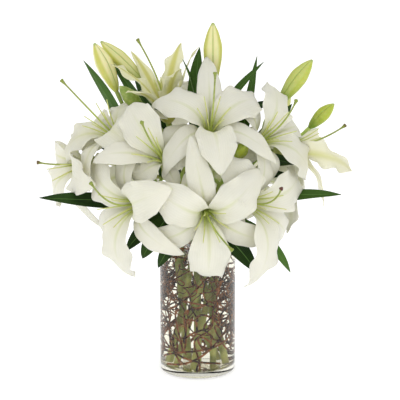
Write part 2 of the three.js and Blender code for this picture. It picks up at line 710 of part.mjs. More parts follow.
function makeWater() {
  const inner = VASE_RADIUS - WALL - SEAT_GAP;
  const foot = FLOOR + SEAT_GAP;
  const body = turnedSolid(
    [
      [0, foot],
      [inner, foot],
      [inner, WATER_LEVEL],
      [0, WATER_LEVEL],
    ],
    VASE_SIDES,
  );
  const stemHoles = Object.values(STEMS).map((stem) => stemSolid(stemCurve(stem), 1.8 * SEAT_GAP));
  const twigHoles = twigSolids(2 * SEAT_GAP, SEAT_GAP);
  addMesh("water", wasm.Manifold.difference([body, ...stemHoles, ...twigHoles]), WATER);
}
makeWater();

export default group;
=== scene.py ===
import math

import bpy
import numpy as np
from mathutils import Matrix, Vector


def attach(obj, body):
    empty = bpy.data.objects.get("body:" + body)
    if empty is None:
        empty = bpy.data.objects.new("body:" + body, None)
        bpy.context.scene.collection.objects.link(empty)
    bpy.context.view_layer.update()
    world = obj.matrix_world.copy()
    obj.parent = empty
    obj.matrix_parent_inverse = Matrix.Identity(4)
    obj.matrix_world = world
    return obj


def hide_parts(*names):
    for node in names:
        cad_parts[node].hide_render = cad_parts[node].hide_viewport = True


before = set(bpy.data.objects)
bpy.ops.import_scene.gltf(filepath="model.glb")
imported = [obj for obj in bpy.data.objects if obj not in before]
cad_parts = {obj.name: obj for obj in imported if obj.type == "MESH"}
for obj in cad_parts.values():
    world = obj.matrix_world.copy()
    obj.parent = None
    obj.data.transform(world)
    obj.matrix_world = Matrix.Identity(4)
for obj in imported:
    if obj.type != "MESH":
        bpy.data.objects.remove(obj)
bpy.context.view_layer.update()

# The studio: the camera of the photograph, a pale floor that runs on out of the picture, and soft lights from
# the upper left, from beside the camera and from behind. Its measures are in metres.

MM = 0.001
LENS_MM = 117.8
SENSOR_MM = 36.0
CAMERA_PLACE = (0.0032, -1.700, 0.6205)
CAMERA_PITCH = 12.8
LIGHTS = (
    # name, place, point aimed at, size and strength
    ("key_light", (-1.2, -1.4, 2.0), (0.0, 0.0, 0.30), 1.0, 2.4),
    ("fill_light", (0.3, -1.8, 0.95), (0.0, 0.0, 0.30), 0.9, 6.0),
    ("top_light", (0.3, 0.9, 1.7), (0.0, 0.0, 0.34), 1.0, 2.0),
)
WORLD_STRENGTH = 0.8
FLOOR_HALF = 40.0
FLOOR_BELOW_MM = 0.3


def placed(name, data):
    """A new object of that data, in the scene."""
    thing = bpy.data.objects.new(name, data)
    bpy.context.scene.collection.objects.link(thing)
    return thing


camera_data = bpy.data.cameras.new("camera")
camera_data.sensor_width = SENSOR_MM
camera_data.lens = LENS_MM
camera = placed("camera", camera_data)
camera.location = CAMERA_PLACE
camera.rotation_euler = (math.radians(90 - CAMERA_PITCH), 0, 0)
bpy.context.scene.camera = camera
bpy.context.scene.view_settings.view_transform = "Standard"

for name, place, target, size, strength in LIGHTS:
    light_data = bpy.data.lights.new(name, "AREA")
    light_data.size = size
    light_data.energy = strength
    light = placed(name, light_data)
    light.location = place
    light.rotation_euler = (Vector(target) - Vector(place)).to_track_quat("-Z", "Y").to_euler()

world = bpy.data.worlds.new("studio_air")
world.use_nodes = True
world.node_tree.nodes["Background"].inputs["Color"].default_value = (1.0, 1.0, 1.0, 1)
world.node_tree.nodes["Background"].inputs["Strength"].default_value = WORLD_STRENGTH
bpy.context.scene.world = world


def finish_of(name, colour, roughness, **sockets):
    """A material of one plain finish, to which colour and relief are added."""
    material = bpy.data.materials.new(name)
    material.use_nodes = True
    skin = material.node_tree.nodes["Principled BSDF"].inputs
    skin["Base Color"].default_value = (*colour, 1)
    skin["Roughness"].default_value = roughness
    for socket, value in sockets.items():
        skin[socket.replace("_", " ")].default_value = value
    return material


def node_in(owner, kind, links=(), **settings):
    """The outputs of a new node in a material or a tree. links gives its inputs: values or other outputs."""
    tree = getattr(owner, "node_tree", owner)
    node = tree.nodes.new(kind)
    for key, value in settings.items():
        setattr(node, key, value)
    for key, value in dict(links).items():
        if isinstance(value, bpy.types.NodeSocket):
            tree.links.new(value, node.inputs[key])
        else:
            node.inputs[key].default_value = value
    return node.outputs


def feed(socket, output):
    """Gives an output to a socket of the finish that it belongs to."""
    tree = output.id_data
    tree.links.new(output, tree.nodes["Principled BSDF"].inputs[socket])


def coats(under, *layers):
    """A colour under thin coats. Each coat is the share of it that shows, and its colour."""
    for share, over in layers:
        inputs = {0: share, 6: under, 7: over}
        inputs = {at: (*value, 1) if isinstance(value, tuple) else value for at, value in inputs.items()}
        under = node_in(share.id_data, "ShaderNodeMix", inputs, data_type="RGBA")[2]
    return under


def object_place(material):
    return node_in(material, "ShaderNodeTexCoord")["Object"]


def mottle(material, scale, detail=3.0):
    """Soft light and dark spots in a material, about scale of them to the metre."""
    inputs = {"Vector": object_place(material), "Scale": scale, "Detail": detail}
    return node_in(material, "ShaderNodeTexNoise", inputs)["Fac"]


def piece_of(name, points, faces, material, marks=None, sheet=None):
    """A smooth piece from points in millimetres, with its points' marks, and their places in a flat sheet."""
    mesh = bpy.data.meshes.new(name)
    mesh.from_pydata((np.asarray(points) * MM).tolist(), [], [tuple(face) for face in faces])
    mesh.polygons.foreach_set("use_smooth", [True] * len(mesh.polygons))
    if sheet is not None:
        corners = np.zeros(len(mesh.loops), np.int32)
        mesh.loops.foreach_get("vertex_index", corners)
        layer = mesh.uv_layers.new(name="blade")
        layer.data.foreach_set("uv", np.asarray(sheet, np.float32)[corners].ravel())
    for mark, values in (marks or {}).items():
        values = np.full(len(points), values, np.float32)
        mesh.attributes.new(mark, "FLOAT", "POINT").data.foreach_set("value", values)
    mesh.materials.append(material)
    mesh.update()
    return placed(name, mesh)


floor_paint = finish_of(
    "floor_paint", (0.70, 0.70, 0.70), 0.8, Emission_Color=(1, 1, 1, 1), Emission_Strength=0.6,
)
feed("Base Color", coats((0.70, 0.70, 0.698), (mottle(floor_paint, 6.0), (0.72, 0.72, 0.719))))
corner = FLOOR_HALF / MM
sides = ((-corner, -corner), (corner, -corner), (corner, corner), (-corner, corner))
floor = piece_of("studio_floor", [(x, y, -FLOOR_BELOW_MM) for x, y in sides], [(0, 1, 2, 3)], floor_paint)

# The vase: a straight glass cylinder, drawn and cut, with a thick pressed floor, a little hollow below, a
# rounded foot and a rim that was melted smooth. Four inches by eight.

VASE_RADIUS = 51.0
VASE_HEIGHT = 203.0
VASE_SIDES = 128
WALL = 3.0
GLASS_FLOOR = 8.0
FOOT_ROUND = 3.0
FLOOR_ROUND = 5.0
RIM_ROUND = 1.45
FLOOR_FLAT = 30.0
HOLLOW_BELOW = [(0, 0.6), (30, 0.6), (41, 0.25), (44, 0)]
WALL_FROM = 12.0
INNER_WALL_FROM = GLASS_FLOOR + 9.0
WALL_TO = VASE_HEIGHT - 8.0
WALL_RINGS = 9
CURVE_RINGS = 7
RIM_RINGS = 5


def arc(centre, radius, first, last, steps):
    angles = np.radians(np.linspace(first, last, steps))
    return [(centre[0] + radius * math.cos(a), centre[1] + radius * math.sin(a)) for a in angles]


def turned(profile, sides):
    """Points and faces of a profile of (radius, height) turned round the Z axis, where it starts and ends."""
    rings = np.array(profile[1:-1])
    angles = np.linspace(0, 2 * math.pi, sides, endpoint=False)
    around = np.stack([np.sin(angles), -np.cos(angles)], -1)
    points = [(0, 0, profile[0][1])]
    for radius, height in rings:
        points += [(radius * x, radius * y, height) for x, y in around]
    points.append((0, 0, profile[-1][1]))
    faces = []
    for i in range(len(rings) - 1):
        for j in range(sides):
            a, b = 1 + i * sides + j, 1 + i * sides + (j + 1) % sides
            faces.append((a, b, b + sides, a + sides))
    last = 1 + (len(rings) - 1) * sides
    fans = [(0, 1 + (j + 1) % sides, 1 + j) for j in range(sides)]
    fans += [(last + sides, last + j, last + (j + 1) % sides) for j in range(sides)]
    return points, faces + fans


def span(value, low, high, first=0.0, last=1.0):
    """value taken softly from low..high to first..last."""
    inputs = {"Value": value, "From Min": low, "From Max": high, "To Min": first, "To Max": last}
    return node_in(value.id_data, "ShaderNodeMapRange", inputs, interpolation_type="SMOOTHSTEP")["Result"]


def relief(height, depth, strength=1.0):
    inputs = {"Height": height, "Distance": depth, "Strength": strength}
    feed("Normal", node_in(height.id_data, "ShaderNodeBump", inputs)["Normal"])


inner = VASE_RADIUS - WALL
vase_profile = (
    HOLLOW_BELOW
    + arc((VASE_RADIUS - FOOT_ROUND, FOOT_ROUND), FOOT_ROUND, -90, 0, CURVE_RINGS)
    + [(VASE_RADIUS, z) for z in np.linspace(WALL_FROM, WALL_TO, WALL_RINGS)]
    + arc((VASE_RADIUS - RIM_ROUND, VASE_HEIGHT - RIM_ROUND), RIM_ROUND, 0, 90, RIM_RINGS)
    + arc((inner + RIM_ROUND, VASE_HEIGHT - RIM_ROUND), RIM_ROUND, 90, 180, RIM_RINGS)
    + [(inner, z) for z in np.linspace(WALL_TO, INNER_WALL_FROM, WALL_RINGS)]
    + arc((inner - FLOOR_ROUND, GLASS_FLOOR + FLOOR_ROUND), FLOOR_ROUND, 0, -90, CURVE_RINGS)
    + [(FLOOR_FLAT, GLASS_FLOOR), (0, GLASS_FLOOR)]
)
clear_glass = finish_of(
    "clear_glass", (0.985, 0.992, 0.989), 0.0,
    Transmission_Weight=1.0, IOR=1.45, Specular_Tint=(0.4, 0.4, 0.4, 1),
)
smears = mottle(clear_glass, 18.0, 2.0)
feed("Roughness", span(smears, 0.55, 0.8, 0.0, 0.035))
relief(mottle(clear_glass, 9.0, 1.0), 0.0004, 0.15)
vase = piece_of("glass_cylinder", *turned(vase_profile, VASE_SIDES), clear_glass)
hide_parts("vase")
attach(vase, "root")

# The water: clear, a little yellow from the stems, and poured to a little under the mouth. It wets the wall,
# so no air lies between the two, and it stands up a little where it meets the glass.

WATER_LEVEL = 166.0
WATER_SIDES = 96
WATER_WALL = (GLASS_FLOOR + 14, WATER_LEVEL - 4, 7)  # from, to and rings
WETTED = 0.04
MENISCUS = [(0, 0.4), (0.15, 0.25), (0.7, -0.5), (1.8, -1.0), (4.5, -1.2)]  # inward, and above the level
wet = inner + WETTED
flat_level = WATER_LEVEL + MENISCUS[-1][1]
water_profile = (
    [(0, GLASS_FLOOR - WETTED), (FLOOR_FLAT, GLASS_FLOOR - WETTED)]
    + arc((inner - FLOOR_ROUND, GLASS_FLOOR + FLOOR_ROUND), FLOOR_ROUND + WETTED, -90, 0, CURVE_RINGS)
    + [(wet, z) for z in np.linspace(*WATER_WALL)]
    + [(wet - inward, WATER_LEVEL + above) for inward, above in MENISCUS]
    + [(20, flat_level), (0, flat_level)]
)
clear_water = finish_of(
    "clear_water", (0.965, 0.93, 0.79), 0.0,
    Transmission_Weight=1.0, IOR=1.333, Specular_Tint=(0.4, 0.4, 0.4, 1),
)
relief(mottle(clear_water, 14.0, 1.0), 0.0003, 0.1)
water = piece_of("vase_water", *turned(water_profile, WATER_SIDES), clear_water)
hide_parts("water")
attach(water, "root")

# The willow: curly twigs with a smooth red-brown bark, wound up inside the glass so that they line it and
# wedge one another. Thin ones and short side shoots fill the gaps between the five long ones.

TWIG_RADIUS = 1.5
TWIG_NEST_RADIUS = 44.0
TWIGS = (
    dict(start=-60, turns=1.1, low=10.2, high=190),
    dict(start=40, turns=-1.2, low=10.6, high=178),
    dict(start=130, turns=1, low=10.4, high=194),
    dict(start=210, turns=-1.1, low=10.8, high=184),
    dict(start=290, turns=1.2, low=16, high=150),
)
TWIG_STATIONS = 140
THIN_TWIGS = 46
THIN_STATIONS = 110
THIN_FOOT = (10, 50)
THIN_HIGH_FOOT = (50, 120)
THIN_CURL = (0.6, 1.3)
THIN_TURNS = (0.12, 0.75)
THIN_RISE = (90, 185)
THIN_RADIUS = (0.75, 1.5)
SHOOTS = 92
SHOOT_STATIONS = 26
SHOOT_REACH = (14, 42)
SHOOT_RADIUS = 0.7
NEST_INSIDE = (33.0, 45.6)
NEST_TOP = 201.0
NEST_BOTTOM = GLASS_FLOOR + 2
NEST_SEED = 7


def sums(how, *values):
    """A sum of values, at least one of them an output."""
    tree = next(value.id_data for value in values if isinstance(value, bpy.types.NodeSocket))
    return node_in(tree, "ShaderNodeMath", dict(enumerate(values)), operation=how)["Value"]


def times(*values):
    return sums("MULTIPLY", *values)


def cells(material, scale):
    """How far each place in a material is from the middle of its cell, about scale cells to the metre."""
    inputs = {"Vector": object_place(material), "Scale": scale}
    return node_in(material, "ShaderNodeTexVoronoi", inputs)["Distance"]


def stalk_maker():
    """Geometry Nodes that skin a path: the path's own radius, round or many-sided, with small knots."""
    tree = bpy.data.node_groups.new("skin_on_a_path", "GeometryNodeTree")
    inputs = {}
    for name, kind, value in (
        ("Path", "Geometry", None),
        ("Sides", "Int", 10),
        ("Knot depth", "Float", 0.0),
        ("Knots per metre", "Float", 60.0),
        ("Seed", "Float", 1.0),
        ("Skin", "Material", None),
    ):
        socket = tree.interface.new_socket(name, in_out="INPUT", socket_type="NodeSocket" + kind)
        if value is not None:
            socket.default_value = value
        inputs[name] = socket.identifier
    tree.interface.new_socket("Stalk", in_out="OUTPUT", socket_type="NodeSocketGeometry")

    def step(kind, **links):
        links = {key.replace("_", " "): value for key, value in links.items()}
        return node_in(tree, "GeometryNode" + kind, links)

    given = node_in(tree, "NodeGroupInput")
    along = step("SplineParameter")["Factor"]
    path = step("StoreNamedAttribute", Geometry=given["Path"], Name="along", Value=along)["Geometry"]
    ring = step("CurvePrimitiveCircle", Radius=1.0, Resolution=given["Sides"])["Curve"]
    radius = step("InputRadius")["Radius"]
    skin = step("CurveToMesh", Curve=path, Profile_Curve=ring, Scale=radius, Fill_Caps=True)["Mesh"]
    noise = {"Scale": given["Knots per metre"], "W": given["Seed"]}
    knots = node_in(tree, "ShaderNodeTexNoise", noise, noise_dimensions="4D")["Fac"]
    raised = times(sums("SUBTRACT", knots, 0.5), given["Knot depth"])
    outward = {0: step("InputNormal")["Normal"], "Scale": raised}
    push = node_in(tree, "ShaderNodeVectorMath", outward, operation="SCALE")["Vector"]
    knotty = step("SetPosition", Geometry=skin, Offset=push)["Geometry"]
    smooth = step("SetShadeSmooth", Geometry=knotty)["Geometry"]
    real = step("RealizeInstances", Geometry=smooth)["Geometry"]
    dressed = step("SetMaterial", Geometry=real, Material=given["Skin"])["Geometry"]
    node_in(tree, "NodeGroupOutput", {"Stalk": dressed})
    return tree, inputs


skin_tree, skin_inputs = stalk_maker()


def stalks_of(name, paths, material, sides=10, knot_depth=0.0, knots_per_metre=60.0, seed=1.0):
    """One piece of stalks, each skinned on its own path of (points, radii) in millimetres."""
    curve = bpy.data.curves.new(name, "CURVE")
    curve.dimensions = "3D"
    for points, radii in paths:
        spline = curve.splines.new("POLY")
        spline.points.add(len(points) - 1)
        flat = np.column_stack([np.asarray(points) * MM, np.ones(len(points))])
        spline.points.foreach_set("co", flat.ravel())
        spline.points.foreach_set("radius", np.asarray(radii, float) * MM)
    sketch = placed(name + "_paths", curve)
    modifier = sketch.modifiers.new("skin", "NODES")
    modifier.node_group = skin_tree
    values = {"Sides": sides, "Knot depth": knot_depth * MM, "Knots per metre": knots_per_metre, "Seed": seed}
    for key, value in {**values, "Skin": material}.items():
        modifier[skin_inputs[key]] = value
    seen = sketch.evaluated_get(bpy.context.evaluated_depsgraph_get())
    mesh = bpy.data.meshes.new_from_object(seen)
    sketch.modifiers.remove(modifier)
    bpy.data.objects.remove(sketch)
    mesh.name = name
    return placed(name, mesh)


def unit(v):
    return v / np.linalg.norm(v)


def nest_path(twig, stations, curl=0.0, phase=0.0):
    """A path wound up the glass, with the curls of the twig laid over the winding."""
    t = np.linspace(0, 1, stations)
    angle = np.radians(twig["start"] + 360 * twig["turns"] * t)
    rise = np.clip(t + 0.055 * np.sin(4 * math.pi * t + twig["start"]), 0, 1)
    radius = TWIG_NEST_RADIUS + 0.9 * np.sin(5 * math.pi * t + twig["start"])
    height = twig["low"] + (twig["high"] - twig["low"]) * rise
    if curl:
        turns = 2 * math.pi * (2.2 + 2.1 * twig["lively"]) * t
        angle += curl * (0.16 * np.sin(turns + phase) + 0.08 * np.sin(2.3 * turns + 2 * phase))
        height += curl * (9 * np.cos(turns + 1.3 * phase) + 4 * np.sin(1.9 * turns + phase))
        radius = np.clip(twig["depth"] + 4.5 * curl * np.sin(1.4 * turns + 0.7 * phase), *NEST_INSIDE)
        height = np.clip(height, NEST_BOTTOM, NEST_TOP)
    return np.column_stack([radius * np.sin(angle), -radius * np.cos(angle), height])


chance = np.random.default_rng(NEST_SEED)
t = np.linspace(0, 1, TWIG_STATIONS)
twig_paths = [(nest_path(twig, TWIG_STATIONS), TWIG_RADIUS * (1.0 - 0.4 * t)) for twig in TWIGS]
t = np.linspace(0, 1, THIN_STATIONS)
for k in range(THIN_TWIGS):
    low = chance.uniform(*(THIN_FOOT if k % 3 else THIN_HIGH_FOOT))
    twig = dict(
        start=chance.uniform(0, 360),
        turns=chance.choice([-1, 1]) * chance.uniform(*THIN_TURNS),
        low=low,
        high=min(low + chance.uniform(*THIN_RISE), NEST_TOP),
        lively=chance.uniform(0, 1),
        depth=chance.uniform(*NEST_INSIDE),
    )
    path = nest_path(twig, THIN_STATIONS, chance.uniform(*THIN_CURL), chance.uniform(0, 6.28))
    twig_paths.append((path, chance.uniform(*THIN_RADIUS) * (1.0 - 0.5 * t)))
t = np.linspace(0, 1, SHOOT_STATIONS)[:, None]
for k in range(SHOOTS):
    parent, _ = twig_paths[chance.integers(len(twig_paths))]
    at = chance.integers(10, len(parent) - 12)
    reach = chance.uniform(*SHOOT_REACH)
    ahead = unit(parent[at + 6] - parent[at])
    aside = chance.normal(size=3)
    aside = unit(aside - ahead * (aside @ ahead))
    path = parent[at] + reach * (t * ahead * 0.8 + aside * (t**2 * 0.75 + 0.12 * np.sin(7 * t + k)))
    out = np.linalg.norm(path[:, :2], axis=1, keepdims=True)
    path[:, :2] *= np.clip(out, 30, NEST_INSIDE[1]) / out
    path[:, 2] = np.clip(path[:, 2], NEST_BOTTOM, NEST_TOP)
    twig_paths.append((path, SHOOT_RADIUS * (1.0 - 0.6 * t[:, 0])))

willow_bark = finish_of("willow_bark", (0.14, 0.05, 0.025), 0.42, Specular_IOR_Level=0.45)
streaks = mottle(willow_bark, 110.0, 5.0)
pores = span(cells(willow_bark, 420.0), 0.22, 0.12)
feed("Base Color", coats(
    (0.05, 0.014, 0.004),
    (span(streaks, 0.38, 0.66), (0.60, 0.23, 0.08)),
    (times(pores, 0.5), (0.56, 0.38, 0.15)),
))
relief(sums("ADD", pores, streaks), 0.0003, 0.5)
twigs = stalks_of(
    "curly_willow", twig_paths, willow_bark, sides=8, knot_depth=0.5, knots_per_metre=130.0, seed=3.0,
)
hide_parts("willow_twigs")
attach(twigs, "root")

# The lily stems: cut green stalks that stand on the vase's floor, lean across to their place at the mouth and
# fork into the pedicels that carry the blooms and buds.

STEM_RADIUS = 3.7
PEDICEL_RADIUS = 2.0
FOOT_CIRCLE = 29.0
MOUTH_CIRCLE = 27.0
SPIRAL = 112.0
STEM_STATIONS = 90
STEM_SIDES = 14
PEDICEL_STATIONS = 44
SEAT_GAP = 0.3
NODE_SPACING = 23
NODE_RISE = 0.35
STEMS = {
    "front": dict(mouth=0, fork=(4, -42, 240)),
    "right": dict(mouth=52, fork=(42, -28, 246)),
    "far_right": dict(mouth=100, fork=(54, 8, 252)),
    "back_right": dict(mouth=150, fork=(30, 46, 246)),
    "back_left": dict(mouth=205, fork=(-28, 46, 246)),
    "left": dict(mouth=257, fork=(-56, 8, 252)),
    "front_left": dict(mouth=308, fork=(-42, -34, 246)),
    "middle": dict(mouth=0, centre=True, fork=(-4, 6, 285)),
}
# A bloom's throat is where the filaments come out. It faces an azimuth, from the front towards the right, and
# an elevation. Its tepals bend by open and curl, and differ from one another by spread. turn, grow and ease
# turn single tepals round the throat, lengthen them and hold them back. style is where the pistil ends.
WIDE = dict(open=76, curl=74, spread=1)
PARTLY = dict(open=48, curl=58, spread=0.7)
BARELY = dict(open=20, curl=36, spread=0.4)
BLOOMS = {
    "front": dict(
        stem="front", throat=(14, -115, 235), face=(8, -10), roll=180, size=1.02, style=(42, -152, 206),
        turn=(0, 6, 10, 14, -4, -4), grow=(1.07, 1, 1, 1.1, 1, 1),
    ),
    "right": dict(
        stem="right", throat=(78, -82, 246), face=(48, -2), roll=50, size=1.02, style=(103, -130, 278),
        grow=(1, 0.9, 1.22, 1.1, 1.1, 1),
    ),
    "top": dict(
        stem="middle", throat=(18, -70, 352), face=(8, 47), roll=60, size=1, style=(22, -90, 415),
        ease=(0, 0, 0, 0, 0, 20),
    ),
    "upper_right": dict(
        stem="right", throat=(95, -42, 330), face=(46, 30), roll=96, size=0.98, style=(124, -70, 378),
    ),
    "far_right": dict(
        stem="far_right", throat=(140, 2, 308), face=(84, 12), roll=10, size=0.95, style=(193, -8, 336),
        opened=PARTLY,
    ),
    "upper_left": dict(
        stem="left", throat=(-120, -14, 336), face=(-62, 46), roll=20, size=0.95, style=(-174, -30, 398),
        grow=(0.62, 1, 1, 1, 1, 1),
    ),
    "left": dict(
        stem="left", throat=(-168, 2, 282), face=(-58, 2), roll=22, size=0.98, style=(-208, -24, 290),
    ),
    "front_left": dict(
        stem="front_left", throat=(-92, -80, 243), face=(-48, -4), roll=180, size=1.03,
        style=(-132, -112, 281), turn=(-6, 0, -8, 0, -14, 8), grow=(1.16, 1, 1.05, 1, 1, 1.06),
    ),
    "middle_left": dict(
        stem="front_left", throat=(-50, -98, 318), face=(-24, 34), roll=40, size=1, style=(-67, -140, 362),
    ),
    "opening": dict(
        stem="left", throat=(-45, 20, 372), face=(-40, 74), roll=10, size=0.92, style=(-78, 10, 446),
        opened=BARELY, slim=0.62,
    ),
    "back": dict(stem="back_right", throat=(18, 112, 248), face=(172, -4), roll=180, size=1),
    "back_right": dict(stem="back_right", throat=(105, 72, 258), face=(125, 2), roll=30, size=1),
    "back_left": dict(stem="back_left", throat=(-86, 92, 258), face=(-142, 4), roll=200, size=1),
    "back_top": dict(stem="back_left", throat=(5, 88, 345), face=(180, 44), roll=0, size=1),
}
BUDS = {
    "tall": dict(stem="middle", base=(20, 12, 388), face=(0, 89), length=80, radius=12.5),
    "right": dict(stem="far_right", base=(110, 24, 362), face=(86, 54), length=70, radius=12),
    "small_right": dict(stem="far_right", base=(150, 32, 326), face=(84, 46), length=46, radius=9.5),
    "green_left": dict(stem="middle", base=(-70, -4, 352), face=(-66, 48), length=50, radius=10),
    "pale_left": dict(stem="left", base=(-108, 30, 376), face=(-80, 66), length=70, radius=12),
    "long_left": dict(stem="back_left", base=(-72, 55, 384), face=(-88, 44), length=80, radius=11),
    "inner_right": dict(stem="right", base=(45, -58, 300), face=(35, 40), length=38, radius=9),
    "back_right": dict(stem="back_right", base=(92, 104, 312), face=(140, 34), length=74, radius=12),
}
THROAT_DEPTH = 35.0
CORE_BOTTOM = -6.0
FIRST_FORK = 1.02
FORK_STEP = 0.035


def direction(azimuth, elevation):
    a, e = math.radians(azimuth), math.radians(elevation)
    return np.array([math.sin(a) * math.cos(e), -math.cos(a) * math.cos(e), math.sin(e)])


def frame_at(along, roll):
    """Rows X, Y and Z of a frame: Z along the direction, and X upward across it, turned by the roll."""
    x = unit(np.array([0.0, 0.0, 1.0]) - along * along[2])
    y = np.cross(along, x)
    a = math.radians(roll)
    x = x * math.cos(a) + y * math.sin(a)
    return np.stack([x, np.cross(along, x), along])


def bezier(ends, t):
    a, b, c, d = ends
    t = np.asarray(t, float)[..., None]
    return (1 - t) ** 3 * a + 3 * (1 - t) ** 2 * t * b + 3 * (1 - t) * t**2 * c + t**3 * d


def at_share(ends, share):
    """The parameter at that share of the curve's length."""
    t = np.linspace(0, 1, 201)
    points = bezier(ends, t)
    run = np.concatenate([[0], np.cumsum(np.linalg.norm(np.diff(points, axis=0), axis=1))])
    return np.interp(np.asarray(share) * run[-1], run, t)


def heading(ends, t):
    return unit(bezier(ends, min(t + 1e-4, 1)) - bezier(ends, max(t - 1e-4, 0)))


def ring_point(radius, azimuth, height):
    a = math.radians(azimuth)
    return np.array([radius * math.sin(a), -radius * math.cos(a), height])


def stem_line(stem):
    out = 0 if stem.get("centre") else 1
    foot = ring_point(out * FOOT_CIRCLE, stem["mouth"] - SPIRAL, GLASS_FLOOR - 2)
    mouth = ring_point(out * MOUTH_CIRCLE, stem["mouth"], VASE_HEIGHT)
    return foot, foot + 0.45 * (mouth - foot), mouth, np.array(stem["fork"], float)


def pedicel_line(stem, share, end, along):
    """The pedicel leaves the stem the way the stem points, and meets its bloom or bud from behind."""
    t = at_share(stem, min(share, 1))
    start, leaving = bezier(stem, t), heading(stem, t)
    distance = np.linalg.norm(end - start)
    return start, start + 0.32 * distance * leaving, end - 0.36 * distance * along, end


lines = {"stem " + name: stem_line(stem) for name, stem in STEMS.items()}
forks = {}
pedicels = {name: [] for name in STEMS}


def fork_off(name, stem, end, along, radius):
    forks[stem] = forks.get(stem, FIRST_FORK) - FORK_STEP
    lines[name] = pedicel_line(lines["stem " + stem], forks[stem], end, along)
    pedicels[stem].append((lines[name], radius))


def bloom_base(bloom):
    along = direction(*bloom["face"])
    return np.array(bloom["throat"], float) - THROAT_DEPTH * along, along


for name, bloom in BLOOMS.items():
    base, along = bloom_base(bloom)
    fork_off(name, bloom["stem"], base + (CORE_BOTTOM - SEAT_GAP) * along, along, 1.1 * PEDICEL_RADIUS)
for name, bud in BUDS.items():
    along = direction(*bud["face"])
    fork_off(name, bud["stem"], np.array(bud["base"], float) - SEAT_GAP * along, along, PEDICEL_RADIUS)

stem_skin = finish_of("stem_skin", (0.16, 0.30, 0.07), 0.42, Specular_IOR_Level=0.4, Subsurface_Scale=0.002)
stem_height = node_in(stem_skin, "ShaderNodeSeparateXYZ", {"Vector": object_place(stem_skin)})["Z"]
# Painted shade: dark green patches laid at random over the stems, standing in for the shading of their round
# sides.
painted_shade_patches = span(mottle(stem_skin, 24.0, 2.0), 0.42, 0.6)
blotches = span(mottle(stem_skin, 55.0, 4.0), 0.45, 0.72)
feed("Base Color", coats(
    (0.82, 0.85, 0.28),
    (span(stem_height, 0.0, 0.30), (0.42, 0.58, 0.12)),
    # painted shade on the stems
    (times(painted_shade_patches, 0.7), (0.17, 0.22, 0.045)),
    (times(blotches, 0.6), (0.56, 0.44, 0.17)),
))
relief(mottle(stem_skin, 240.0, 3.0), 0.0005, 0.35)
for name in STEMS:
    t = at_share(lines["stem " + name], np.linspace(0, 1, STEM_STATIONS))
    path = bezier(lines["stem " + name], t)
    path = path[path[:, 2] > GLASS_FLOOR + SEAT_GAP]
    path = np.vstack([[*path[0, :2], GLASS_FLOOR + SEAT_GAP], path])
    radii = STEM_RADIUS * np.linspace(1.05, 0.85, len(path))
    from_node = np.arange(len(path)) % NODE_SPACING - NODE_SPACING // 2
    radii += NODE_RISE * np.exp(-(from_node**2) / 3.0)
    paths = [(path, radii)]
    share = np.linspace(0, 1, PEDICEL_STATIONS)
    for ends, radius in pedicels[name]:
        collar = 1 + 0.12 * np.exp(-(((share - 0.97) / 0.03) ** 2))
        paths.append((bezier(ends, at_share(ends, share)), radius * (1.1 + 0.25 * share) * collar))
    stalks = stalks_of("stalk_" + name, paths, stem_skin, STEM_SIDES, 0.5, 45.0, 1.0 + len(name))
    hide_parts("stem_" + name)
    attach(stalks, "root")

# The blades: a tepal or a leaf is a midrib that bends away from its stalk, and a cross-section that is hollow
# near the root, arched near the tip and waved along its edges. Each follows its CAD blade, which was bent
# clear of its neighbours, so the same bends are tried here and the one whose corners the node has is kept.

SPINE_STEPS = 48
BEND_STEPS = dict(
    length=(1, 0.88, 0.76, 0.64, 0.52, 0.42),
    open=(0, -9, 9, -18, 18, -28, 28, -42, 42),
    sway=(0, -14, 14, -28, 28, -44, 44),
    curl=(0, 35, -35),
)
BENDS = dict(zip(BEND_STEPS, (way.ravel() for way in np.meshgrid(*BEND_STEPS.values(), indexing="ij"))))
NEAREST_TIPS = 30
AT_ONCE = 4000
EDGE_SHIFT = 1.9
SMALL_WAVES = 1.9


def corners_of(node):
    """The corners of a CAD node, in millimetres."""
    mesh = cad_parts[node].data
    flat = np.zeros(3 * len(mesh.vertices), np.float32)
    mesh.vertices.foreach_get("co", flat)
    return np.unique(np.round(flat.reshape(-1, 3) / MM, 3), axis=0)


def misses(corners, probes):
    """How far each probe lies from the nearest corner."""
    flat = probes.reshape(-1, 3)
    near = np.empty(len(flat))
    for start in range(0, len(flat), AT_ONCE):
        part = flat[start : start + AT_ONCE]
        apart = ((part[:, None] - corners[None]) ** 2).sum(-1)
        near[start : start + AT_ONCE] = np.sqrt(apart.min(1))
    return near.reshape(probes.shape[:-1])


def ease(low, high, t):
    x = np.clip((t - low) / (high - low), 0, 1)
    return x * x * (3 - 2 * x)


def each(value):
    """The value of one pose, or the values of many, as a column."""
    return np.atleast_1d(np.asarray(value, float))[:, None]


def spine_of(form, pose):
    """Midribs for one or many poses: their points, and the directions across them and out of their face."""
    t = np.linspace(0, 1, SPINE_STEPS + 1)
    opened = each(pose["open"]) * ease(0.05, form["bend_end"], t)
    angle = np.radians(form["lean"] + opened + each(pose["curl"]) * t**3)
    sway, twist = (np.radians(each(pose[key]) * t)[..., None] for key in ("sway", "twist"))
    ahead = np.stack([np.sin(angle), np.zeros_like(angle), np.cos(angle)], -1)
    side = np.array([0.0, 1.0, 0.0])
    along = ahead * np.cos(sway) + side * np.sin(sway)
    across = side * np.cos(sway) - ahead * np.sin(sway)
    across = across * np.cos(twist) + np.cross(along, across) * np.sin(twist)
    run = np.cumsum(along * each(form["length"])[..., None] / SPINE_STEPS, axis=1)
    points = np.concatenate([np.zeros_like(run[:, :1]), run[:, :-1]], axis=1)
    points[..., 0] += form["root_radius"]
    return t, points, across, np.cross(along, across)


